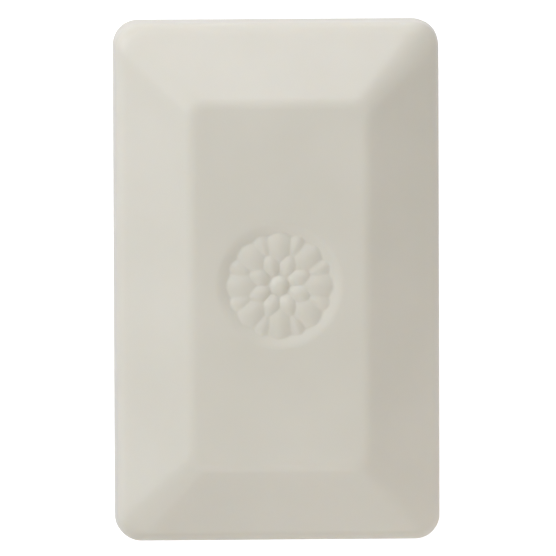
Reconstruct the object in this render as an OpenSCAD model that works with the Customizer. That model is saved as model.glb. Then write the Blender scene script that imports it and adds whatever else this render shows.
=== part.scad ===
// Large bath soap, pressed in one stroke between two die halves. Both faces are
// bevelled down from a flat panel, and the front panel carries a stamped rosette
// in a round dish. The bar lies on its back panel: Z points out of the front
// panel, Y runs along the length, and the origin is the middle of the back panel.

/* [Bar] */
// Width at the parting line, along X
bar_w = 65; // [56:0.5:80]
// Length at the parting line, along Y
bar_l = 104; // [86:0.5:130]
// Thickness from the back panel to the front panel
bar_t = 32; // [26:0.5:40]
// Corner radius of the outline
corner_r = 4.9; // [3.5:0.1:8]
// Draft of the side walls, in degrees, which lets the bar leave the dies
wall_draft = 2; // [1:0.5:4]

/* [Bevels] */
// How far the side bevels reach in from the outline
bevel_run = 14.9; // [12:0.1:18]
// How far the end bevels reach in from the outline
end_bevel_run = 15.6; // [12:0.1:18.8]
// How far the bevels rise from the side walls to a panel
bevel_rise = 8.3; // [6:0.1:10]
// Radius that rounds the side walls into the bevels
rim_r = 4.2; // [2:0.1:6.8]
// Radius that rounds the bevels into a panel
panel_edge_r = 5; // [2:0.1:7]
// Corner radius of a panel, where the bevels' hips run out
panel_corner_r = 2.5; // [1:0.1:4]

/* [Medallion] */
// Diameter of the dish at the panel
dish_d = 26; // [22:0.1:28]
// Depth of the dish below the panel
dish_depth = 0.9; // [0.6:0.05:1.2]
// How far the dish's curved wall reaches in from its lip
dish_wall = 4; // [2:0.1:5]
// Diameter of the rosette, from petal tip to petal tip
rosette_d = 23; // [18:0.1:25]
// Number of petals in each of the rosette's three rings
petal_count = 8; // [6:1:9]
// Length of an outer petal
outer_petal_l = 7.8; // [5:0.1:8.5]
// Width of an outer petal at its middle
outer_petal_w = 5.6; // [3:0.1:6]
// Length of an inner petal
inner_petal_l = 5; // [3:0.1:5.8]
// Width of an inner petal at its middle
inner_petal_w = 3.4; // [2:0.1:4]
// How high the outer and inner petals stand above the dish's floor
petal_rise = 0.75; // [0.5:0.05:0.9]
// Length of a leaf, whose tip shows between two outer petals
leaf_l = 6; // [4:0.1:7]
// Width of a leaf at its middle
leaf_w = 3.2; // [1.5:0.1:4]
// How high the leaves stand above the dish's floor
leaf_rise = 0.6; // [0.4:0.05:0.75]
// Diameter of the button at the rosette's centre
button_d = 4; // [2:0.1:5]

/* [Hidden] */

corner_steps = 12; // facets round one corner
fillet_steps = 8; // facets across one rounded edge
wall_steps = 10; // cones that make up the dish's wall
round_facets = 96; // facets round the dish, a ball or a cylinder
hip_fade = 3; // the hips keep the outline's radius, and tighten close to the panel
overshoot = 1; // how far a cutter passes the face that it cuts

// The upper half of the section, as [inset from the outline, height above the
// parting line], turns at two corners: the shoulder, where the wall meets the
// bevel, and the crease, where the bevel meets the panel.
parting_z = bar_t / 2;
shoulder_z = parting_z - bevel_rise;
shoulder_inset = shoulder_z * tan(wall_draft);
shoulder = [shoulder_inset, shoulder_z];
crease = [bevel_run, parting_z];
bevel_slope = atan(bevel_rise / (bevel_run - shoulder_inset));

// The ends have the same section, drawn out to their own run
end_stretch = end_bevel_run / bevel_run;

// The points of an arc of radius r that rounds a section's corner, where its
// slope falls from one angle to another.
function fillet(corner, from, to, r) =
    let (reach = r * tan((from - to) / 2))
    let (start = corner - reach * [cos(from), sin(from)])
    let (centre = start + r * [sin(from), -cos(from)])
    [
        for (step = [0 : fillet_steps])
            let (slope = from + (to - from) * step / fillet_steps)
            centre + r * [-sin(slope), cos(slope)]
    ];

rising_section = concat(
    fillet(shoulder, 90 - wall_draft, bevel_slope, rim_r),
    fillet(crease, bevel_slope, 0, panel_edge_r)
);
last = len(rising_section) - 1;
panel_inset = rising_section[last][0];

// The whole section, from the back panel over the parting line to the front
section = concat(
    [for (i = [last : -1 : 0]) [rising_section[i][0], parting_z - rising_section[i][1]]],
    [[0, parting_z]],
    [for (p = rising_section) [p[0], parting_z + p[1]]]
);

// Corner radius of the contour that lies inset from the outline
function contour_r(inset) =
    corner_r + (panel_corner_r - corner_r) * pow(inset / panel_inset, hip_fade);

// One level contour of the bar: four corner arcs, anticlockwise from +X
function contour(inset, z, r) =
    [
        for (corner = [0 : 3], step = [0 : corner_steps])
            let (turn = 90 * (corner + step / corner_steps))
            let (side_x = corner == 0 || corner == 3 ? 1 : -1)
            let (side_y = corner < 2 ? 1 : -1)
            [
                side_x * (bar_w / 2 - inset - r) + r * cos(turn),
                side_y * (bar_l / 2 - inset * end_stretch - r) + r * sin(turn),
                z
            ]
    ];

contour_size = 4 * (corner_steps + 1);
contour_count = len(section);

// The bar without its medallion: level contours, joined from back to front
module pressed_blank() {
    points = [
        for (p = section)
            each contour(p[0], p[1], contour_r(p[0]))
    ];
    sides = [
        for (level = [0 : contour_count - 2], i = [0 : contour_size - 1])
            let (next = (i + 1) % contour_size)
            let (below = level * contour_size)
            let (above = below + contour_size)
            [above + i, above + next, below + next, below + i]
    ];
    back = [for (i = [0 : contour_size - 1]) i];
    front = [for (i = [contour_size - 1 : -1 : 0]) (contour_count - 1) * contour_size + i];
    polyhedron(points, concat(sides, [back, front]));
}

// The dish that holds the rosette: a flat floor, and a wall that curves up from
// it and over into the panel
dish_r = dish_d / 2;
floor_r = dish_r - dish_wall;
floor_z = bar_t - dish_depth;

module dish() {
    wall = [
        for (step = [0 : wall_steps])
            let (share = step / wall_steps)
            [floor_r + dish_wall * share, dish_depth * (1 - cos(180 * share)) / 2]
    ];
    top = dish_depth + overshoot;
    translate([0, 0, floor_z])
        rotate_extrude($fn = round_facets)
            polygon(concat([[0, 0]], wall, [[dish_r, top], [0, top]]));
}

// Radius of the arc that spans a width and rises this high in its middle
function arc_r(span, rise) = (pow(span / 2, 2) + pow(rise, 2)) / (2 * rise);

// The slab, from just under the floor to above the relief, that balls are cut to
module slab(r, rise) {
    translate([0, 0, floor_z - overshoot])
        cylinder(h = overshoot + 2 * rise, r = r, $fn = round_facets);
}

// A low dome on the floor: the cap of a ball whose centre is well below it
module dome(d, rise) {
    ball_r = arc_r(d, rise);
    intersection() {
        translate([0, 0, floor_z + rise - ball_r])
            sphere(r = ball_r, $fn = round_facets);
        slab(d, rise);
    }
}

// A leaf-shaped petal on the floor, along X: two balls, one to each side of the
// petal's crest, leave between them a blade that falls to the floor all round.
module petal(l, w, rise) {
    crest_r = arc_r(l, rise);
    depth = crest_r - rise;
    side = (pow(crest_r, 2) - pow(depth, 2) - pow(w / 2, 2)) / w;
    ball_r = sqrt(pow(crest_r, 2) + pow(side, 2));
    intersection() {
        translate([0, side, floor_z - depth])
            sphere(r = ball_r, $fn = round_facets);
        translate([0, -side, floor_z - depth])
            sphere(r = ball_r, $fn = round_facets);
        slab(l, rise);
    }
}

module petal_ring(l, w, rise, middle_r, first_turn) {
    for (i = [0 : petal_count - 1])
        rotate(first_turn + 360 * i / petal_count)
            translate([middle_r, 0, 0])
                petal(l, w, rise);
}

// A button inside two rings of petals that are turned half a petal apart, with
// leaves between the outer petals
module rosette() {
    half_petal = 180 / petal_count;
    petal_ring(leaf_l, leaf_w, leaf_rise, (rosette_d - leaf_l) / 2, half_petal);
    petal_ring(outer_petal_l, outer_petal_w, petal_rise, (rosette_d - outer_petal_l) / 2, 0);
    petal_ring(inner_petal_l, inner_petal_w, petal_rise, (button_d + inner_petal_l) / 2, half_petal);
    dome(button_d, petal_rise);
}

module soap_bar() {
    color("#cdc9bb") {
        difference() {
            pressed_blank();
            dish();
        }
        rosette();
    }
}

soap_bar();
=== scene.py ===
"""A large bath soap, bevelled on both faces, with a petal rosette stamped into its front panel.

The bar is one closed mesh: level contours lofted from the middle of the back panel, out over
the rim and in to the middle of the rosette. Lengths are in metres, in the CAD model's frame.
"""
import math

import bpy
import numpy as np
from mathutils import Matrix, Vector


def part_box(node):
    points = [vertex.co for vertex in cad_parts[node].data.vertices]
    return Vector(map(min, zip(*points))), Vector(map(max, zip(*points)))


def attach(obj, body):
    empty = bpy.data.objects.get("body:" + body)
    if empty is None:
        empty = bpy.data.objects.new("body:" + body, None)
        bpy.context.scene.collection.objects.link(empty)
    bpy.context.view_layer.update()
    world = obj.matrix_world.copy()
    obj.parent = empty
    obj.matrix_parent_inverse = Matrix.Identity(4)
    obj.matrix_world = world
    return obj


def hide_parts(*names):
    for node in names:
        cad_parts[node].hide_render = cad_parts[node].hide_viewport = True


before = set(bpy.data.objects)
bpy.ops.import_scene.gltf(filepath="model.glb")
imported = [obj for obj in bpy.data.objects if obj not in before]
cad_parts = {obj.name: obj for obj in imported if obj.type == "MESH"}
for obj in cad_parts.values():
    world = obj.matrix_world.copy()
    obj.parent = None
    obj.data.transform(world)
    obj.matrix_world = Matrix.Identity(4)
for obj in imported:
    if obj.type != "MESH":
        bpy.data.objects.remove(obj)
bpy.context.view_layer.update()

MM = 0.001

# The bar's outline and thickness come from the CAD model
LOW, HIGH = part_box("soap_bar")
BAR_W, BAR_L, BAR_T = HIGH - LOW
MIDDLE = (LOW + HIGH) / 2

# Sizes that the CAD model's box doesn't give, as the CAD model has them
CORNER_R = 4.9 * MM
WALL_DRAFT = math.radians(2)
BEVEL_RUN = 14.9 * MM
END_BEVEL_RUN = 15.6 * MM
BEVEL_RISE = 8.3 * MM
RIM_R = 4.2 * MM
PANEL_EDGE_R = 5 * MM
PANEL_CORNER_R = 2.5 * MM
HIP_FADE = 3
END_STRETCH = END_BEVEL_RUN / BEVEL_RUN

DISH_R = 13 * MM
DISH_DEPTH = 0.9 * MM
DISH_WALL = 4 * MM
ROSETTE_R = 11.5 * MM
PETAL_COUNT = 8
# Length, width and rise of one petal in each ring
OUTER_PETAL = (7.8 * MM, 5.6 * MM, 0.75 * MM)
INNER_PETAL = (5 * MM, 3.4 * MM, 0.75 * MM)
LEAF = (6 * MM, 3.2 * MM, 0.6 * MM)
BUTTON_D = 4 * MM
BUTTON_RISE = 0.75 * MM

# How finely the mesh is divided
FILLET_STEPS = 20
CORNER_STEPS = 20
END_STEPS = 50
SIDE_STEPS = 110
DISH_STEPS = 120

# How softly pressed edges meet
RELIEF_SOFTNESS = 0.18 * MM
CREST_SOFTNESS = 0.5 * MM

# The camera looks straight down, but for a slight lean towards the upper left corner
FOCAL_LENGTH_MM = 1000
SENSOR_WIDTH_MM = 36
CAMERA_DISTANCE = 3.088
LEAN_LEFT = math.radians(2.5)
LEAN_UP = math.radians(4.9)
CAMERA_ROLL = math.radians(-0.2)
AIM_OFFSET = Vector((0.36, 0.21, 0)) * MM

# The studio: half the floor sheet's width, its paper, and what lifts that to plain white
FLOOR_HALF_WIDTH = 1
FLOOR_WHITE = (0.8, 0.8, 0.8, 1)
FLOOR_LIFT = (0.7, 0.7, 0.7, 1)


# ---------------------------------------------------------------- shape helpers

def smooth_max(a, b, softness):
    """The larger of two heights, with the corner between them rounded off."""
    blend = np.clip(0.5 + 0.5 * (a - b) / softness, 0, 1)
    return b + (a - b) * blend + softness * blend * (1 - blend)


def fillet(corner, start_slope, end_slope, radius):
    """Points of the arc that rounds a section's corner, as (inset, height) pairs."""
    reach = radius * math.tan((start_slope - end_slope) / 2)
    start_x = corner[0] - reach * math.cos(start_slope)
    start_z = corner[1] - reach * math.sin(start_slope)
    centre_x = start_x + radius * math.sin(start_slope)
    centre_z = start_z - radius * math.cos(start_slope)
    slopes = np.linspace(start_slope, end_slope, FILLET_STEPS + 1)
    return [(centre_x - radius * math.sin(s), centre_z + radius * math.cos(s)) for s in slopes]


# ---------------------------------------------------------------- the bar's mesh

def rising_section():
    """The section's upper half, as (inset from the outline, height above the parting line)."""
    parting_z = BAR_T / 2
    shoulder_z = parting_z - BEVEL_RISE
    shoulder_inset = shoulder_z * math.tan(WALL_DRAFT)
    bevel_slope = math.atan(BEVEL_RISE / (BEVEL_RUN - shoulder_inset))
    wall_slope = math.pi / 2 - WALL_DRAFT
    rim = fillet((shoulder_inset, shoulder_z), wall_slope, bevel_slope, RIM_R)
    panel_edge = fillet((BEVEL_RUN, parting_z), bevel_slope, 0, PANEL_EDGE_R)
    return rim + panel_edge


def contour_steps(panel_inset):
    """Where a contour's points lie: its corner's signs, the turn on the corner's arc, and how far
    along the straight side that follows. Side points are at equal angles about the middle."""
    half_w = BAR_W / 2 - panel_inset
    half_l = BAR_L / 2 - panel_inset * END_STRETCH
    corners = [(1, 1), (-1, 1), (-1, -1), (1, -1)]
    steps = []
    for i, corner in enumerate(corners):
        for k in range(CORNER_STEPS):
            steps.append((corner, corner, math.pi / 2 * (i + k / CORNER_STEPS), 0))
        ends = i % 2 == 0
        count = END_STEPS if ends else SIDE_STEPS
        near, far = (half_l, half_w) if ends else (half_w, half_l)
        spread = math.atan((far - PANEL_CORNER_R) / near)
        for k in range(count):
            angle = spread * (2 * k / count - 1)
            along = (math.tan(angle) / math.tan(spread) + 1) / 2
            steps.append((corner, corners[(i + 1) % 4], math.pi / 2 * (i + 1), along))
    return steps


def contour(inset, z, radius, steps):
    """One level contour of the bar."""
    reach_x = BAR_W / 2 - inset - radius
    reach_y = BAR_L / 2 - inset * END_STRETCH - radius
    points = []
    for here, there, turn, along in steps:
        centre_x = reach_x * (here[0] * (1 - along) + there[0] * along)
        centre_y = reach_y * (here[1] * (1 - along) + there[1] * along)
        points.append((centre_x + radius * math.cos(turn), centre_y + radius * math.sin(turn), z))
    return points


def petal_height(along, across, size):
    """A leaf-shaped blade on the dish's floor: it has a crest and falls to the floor all round."""
    length, width, rise = size
    crest_r = ((length / 2) ** 2 + rise ** 2) / (2 * rise)
    depth = crest_r - rise
    side = (crest_r ** 2 - depth ** 2 - (width / 2) ** 2) / width
    ball_r = math.hypot(crest_r, side)
    across = np.sqrt(across ** 2 + CREST_SOFTNESS ** 2) - CREST_SOFTNESS
    return np.sqrt(np.maximum(ball_r ** 2 - along ** 2 - (across + side) ** 2, 0)) - depth


def dome_height(x, y, diameter, rise):
    """The cap of a ball, with its edge on the dish's floor."""
    ball_r = ((diameter / 2) ** 2 + rise ** 2) / (2 * rise)
    return np.sqrt(np.maximum(ball_r ** 2 - x ** 2 - y ** 2, 0)) - (ball_r - rise)


def petal_ring(x, y, size, middle_r, first_turn):
    """Height of a ring of petals above the dish's floor."""
    height = np.full_like(x, -DISH_DEPTH)
    for i in range(PETAL_COUNT):
        turn = first_turn + 2 * math.pi * i / PETAL_COUNT
        along = x * math.cos(turn) + y * math.sin(turn) - middle_r
        across = y * math.cos(turn) - x * math.sin(turn)
        height = smooth_max(height, petal_height(along, across, size), RELIEF_SOFTNESS)
    return height


def rosette_height(x, y):
    """Height of the stamped rosette above the dish's floor."""
    half_petal = math.pi / PETAL_COUNT
    tiers = [
        petal_ring(x, y, LEAF, ROSETTE_R - LEAF[0] / 2, half_petal),
        petal_ring(x, y, OUTER_PETAL, ROSETTE_R - OUTER_PETAL[0] / 2, 0),
        petal_ring(x, y, INNER_PETAL, (BUTTON_D + INNER_PETAL[0]) / 2, half_petal),
        dome_height(x, y, BUTTON_D, BUTTON_RISE),
    ]
    height = np.zeros_like(x)
    for tier in tiers:
        height = smooth_max(height, tier, RELIEF_SOFTNESS)
    return height


def medallion_z(x, y):
    """Height of the front panel's surface in and around the dish."""
    share = np.clip((np.hypot(x, y) - (DISH_R - DISH_WALL)) / DISH_WALL, 0, 1)
    wall = DISH_DEPTH * (1 - np.cos(math.pi * share)) / 2
    return BAR_T - DISH_DEPTH + smooth_max(wall, rosette_height(x, y), RELIEF_SOFTNESS)


def bar_rings():
    """Every contour of the bar, from the back panel's edge to the rosette, and the rosette's middle."""
    rising = rising_section()
    panel_inset = rising[-1][0]
    steps = contour_steps(panel_inset)
    section = [(inset, -z) for inset, z in reversed(rising)] + [(0, 0)] + rising
    rings = []
    for inset, z in section:
        fade = (inset / panel_inset) ** HIP_FADE
        radius = CORNER_R + (PANEL_CORNER_R - CORNER_R) * fade
        rings.append(contour(inset, BAR_T / 2 + z, radius, steps))
    panel = np.array(rings[-1])
    angles = np.arctan2(panel[:, 1], panel[:, 0])
    for reach in np.linspace(DISH_R, 0, DISH_STEPS, endpoint=False):
        x, y = reach * np.cos(angles), reach * np.sin(angles)
        rings.append(np.column_stack([x, y, medallion_z(x, y)]))
    middle = float(medallion_z(np.zeros(1), np.zeros(1))[0])
    return np.array(rings), middle


def make_bar():
    """Lofts the contours into one closed mesh."""
    rings, middle = bar_rings()
    ring_count, size, _ = rings.shape
    points = rings.reshape(-1, 3).tolist() + [(0, 0, middle)]
    faces = []
    for level in range(ring_count - 1):
        start = level * size
        for i in range(size):
            j = (i + 1) % size
            faces.append((start + i, start + j, start + size + j, start + size + i))
    last = (ring_count - 1) * size
    faces += [(last + i, last + (i + 1) % size, len(points) - 1) for i in range(size)]
    faces.append(tuple(reversed(range(size))))
    mesh = bpy.data.meshes.new("soap_bar_pressed")
    mesh.from_pydata(points, [], faces)
    mesh.shade_smooth()
    mesh.update()
    bar = bpy.data.objects.new("soap_bar_pressed", mesh)
    bpy.context.scene.collection.objects.link(bar)
    return bar


# ---------------------------------------------------------------- materials

def new_material(name):
    """An empty node material, with its output node."""
    material = bpy.data.materials.new(name)
    material.use_nodes = True
    nodes = material.node_tree.nodes
    nodes.clear()
    output = nodes.new("ShaderNodeOutputMaterial")
    return material, nodes, material.node_tree.links, output


def noise(nodes, links, coords, scale, detail):
    """A noise texture in the object's own metres."""
    texture = nodes.new("ShaderNodeTexNoise")
    texture.inputs["Scale"].default_value = scale
    texture.inputs["Detail"].default_value = detail
    links.new(coords.outputs["Object"], texture.inputs["Vector"])
    return texture


def soap_material():
    """Milled ivory soap: waxy satin, faintly clouded, and slightly see-through at its edges."""
    material, nodes, links, output = new_material("ivory_soap")
    shader = nodes.new("ShaderNodeBsdfPrincipled")
    links.new(shader.outputs["BSDF"], output.inputs["Surface"])
    shader.inputs["IOR"].default_value = 1.46
    shader.inputs["Sheen Weight"].default_value = 0.3
    shader.inputs["Sheen Roughness"].default_value = 0.5
    shader.inputs["Subsurface Weight"].default_value = 0.35
    shader.inputs["Subsurface Radius"].default_value = (1.0, 0.75, 0.5)
    shader.inputs["Subsurface Scale"].default_value = 2.5 * MM

    # Faint clouds of lighter and darker ivory, some 20 mm across
    coords = nodes.new("ShaderNodeTexCoord")
    clouds = noise(nodes, links, coords, 45, 3)
    tint = nodes.new("ShaderNodeValToRGB")
    tint.color_ramp.elements[0].color = (0.68, 0.668, 0.572, 1)
    tint.color_ramp.elements[0].position = 0.3
    tint.color_ramp.elements[1].color = (0.71, 0.698, 0.604, 1)
    tint.color_ramp.elements[1].position = 0.7
    links.new(clouds.outputs["Fac"], tint.inputs["Fac"])
    links.new(tint.outputs["Color"], shader.inputs["Base Color"])

    # Satin that is a little glossier in patches
    smears = noise(nodes, links, coords, 120, 4)
    polish = nodes.new("ShaderNodeMapRange")
    polish.inputs["To Min"].default_value = 0.40
    polish.inputs["To Max"].default_value = 0.50
    links.new(smears.outputs["Fac"], polish.inputs["Value"])
    links.new(polish.outputs["Result"], shader.inputs["Roughness"])

    # The die's fine grain, well under a millimetre
    grain = noise(nodes, links, coords, 2500, 3)
    bump = nodes.new("ShaderNodeBump")
    bump.inputs["Strength"].default_value = 0.12
    bump.inputs["Distance"].default_value = 0.03 * MM
    links.new(grain.outputs["Fac"], bump.inputs["Height"])
    links.new(bump.outputs["Normal"], shader.inputs["Normal"])
    return material


def floor_material():
    """White paper, lifted to plain white for the eye only: the lift lights nothing."""
    material, nodes, links, output = new_material("white_paper")
    matte = nodes.new("ShaderNodeBsdfDiffuse")
    matte.inputs["Color"].default_value = FLOOR_WHITE
    lift = nodes.new("ShaderNodeEmission")
    lift.inputs["Color"].default_value = FLOOR_LIFT
    light_path = nodes.new("ShaderNodeLightPath")
    links.new(light_path.outputs["Is Camera Ray"], lift.inputs["Strength"])
    both = nodes.new("ShaderNodeAddShader")
    links.new(matte.outputs["BSDF"], both.inputs[0])
    links.new(lift.outputs["Emission"], both.inputs[1])
    links.new(both.outputs["Shader"], output.inputs["Surface"])
    return material


# ---------------------------------------------------------------- studio

def aim(obj, target, roll=0.0):
    """Turns a camera or light to look at a point with +Y upwards, then rolls it about its sight."""
    back = (obj.location - target).normalized()
    right = Vector((0, 1, 0)).cross(back).normalized()
    up = back.cross(right)
    turn = Matrix((right, up, back)).transposed().to_4x4()
    obj.matrix_world = Matrix.Translation(obj.location) @ turn @ Matrix.Rotation(roll, 4, "Z")


def make_camera():
    """Looks down on the front panel from far off."""
    lens = bpy.data.cameras.new("camera")
    lens.lens = FOCAL_LENGTH_MM
    lens.sensor_width = SENSOR_WIDTH_MM
    camera = bpy.data.objects.new("camera", lens)
    bpy.context.scene.collection.objects.link(camera)
    bpy.context.scene.camera = camera
    back = Vector((-math.tan(LEAN_LEFT), math.tan(LEAN_UP), 1)).normalized()
    target = MIDDLE + AIM_OFFSET
    camera.location = target + back * CAMERA_DISTANCE
    aim(camera, target, CAMERA_ROLL)
    return camera


def make_softbox(name, azimuth, elevation, distance, size, power, tint):
    """A square softbox that faces the bar. Azimuth is counted from +X towards +Y, in degrees;
    distance and size are in metres, and power is in watts."""
    lamp = bpy.data.lights.new(name, "AREA")
    lamp.size = size
    lamp.energy = power
    lamp.color = tint
    light = bpy.data.objects.new(name, lamp)
    bpy.context.scene.collection.objects.link(light)
    turn, rise = math.radians(azimuth), math.radians(elevation)
    level = Vector((math.cos(turn), math.sin(turn), 0)) * math.cos(rise)
    light.location = MIDDLE + (level + Vector((0, 0, math.sin(rise)))) * distance
    aim(light, MIDDLE)
    return light


def make_floor():
    """A level sheet under the bar, big enough to be lit evenly right to its edge."""
    mesh = bpy.data.meshes.new("floor")
    half = FLOOR_HALF_WIDTH
    corners = [(-half, -half, 0), (half, -half, 0), (half, half, 0), (-half, half, 0)]
    mesh.from_pydata(corners, [], [(0, 1, 2, 3)])
    floor = bpy.data.objects.new("floor", mesh)
    bpy.context.scene.collection.objects.link(floor)
    floor.data.materials.append(floor_material())
    return floor


def make_world():
    """Plain white all round for the eye only: the softboxes do the lighting."""
    world = bpy.data.worlds.new("studio")
    world.use_nodes = True
    background = world.node_tree.nodes["Background"]
    background.inputs["Color"].default_value = (1, 1, 1, 1)
    light_path = world.node_tree.nodes.new("ShaderNodeLightPath")
    world.node_tree.links.new(light_path.outputs["Is Camera Ray"], background.inputs["Strength"])
    bpy.context.scene.world = world


# ---------------------------------------------------------------- the scene

make_camera()
make_world()
make_floor()
make_softbox("head_softbox", 90, 32, 0.9, 0.6, 3.75, (1, 0.98, 1.03))
make_softbox("left_softbox", 150, 25, 0.9, 0.6, 5.3, (0.98, 0.98, 1.05))
make_softbox("foot_softbox", 270, 43, 0.9, 0.6, 4.65, (1.02, 0.99, 0.98))
make_softbox("right_softbox", 40, 8, 0.9, 0.6, 2.35, (1.04, 1, 0.97))
make_softbox("near_softbox", 320, 15, 0.25, 0.2, 0.1, (1.07, 0.95, 1))
bpy.context.scene.view_settings.view_transform = "Standard"

bar = make_bar()
bar.data.materials.append(soap_material())
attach(bar, "root")
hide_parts("soap_bar")
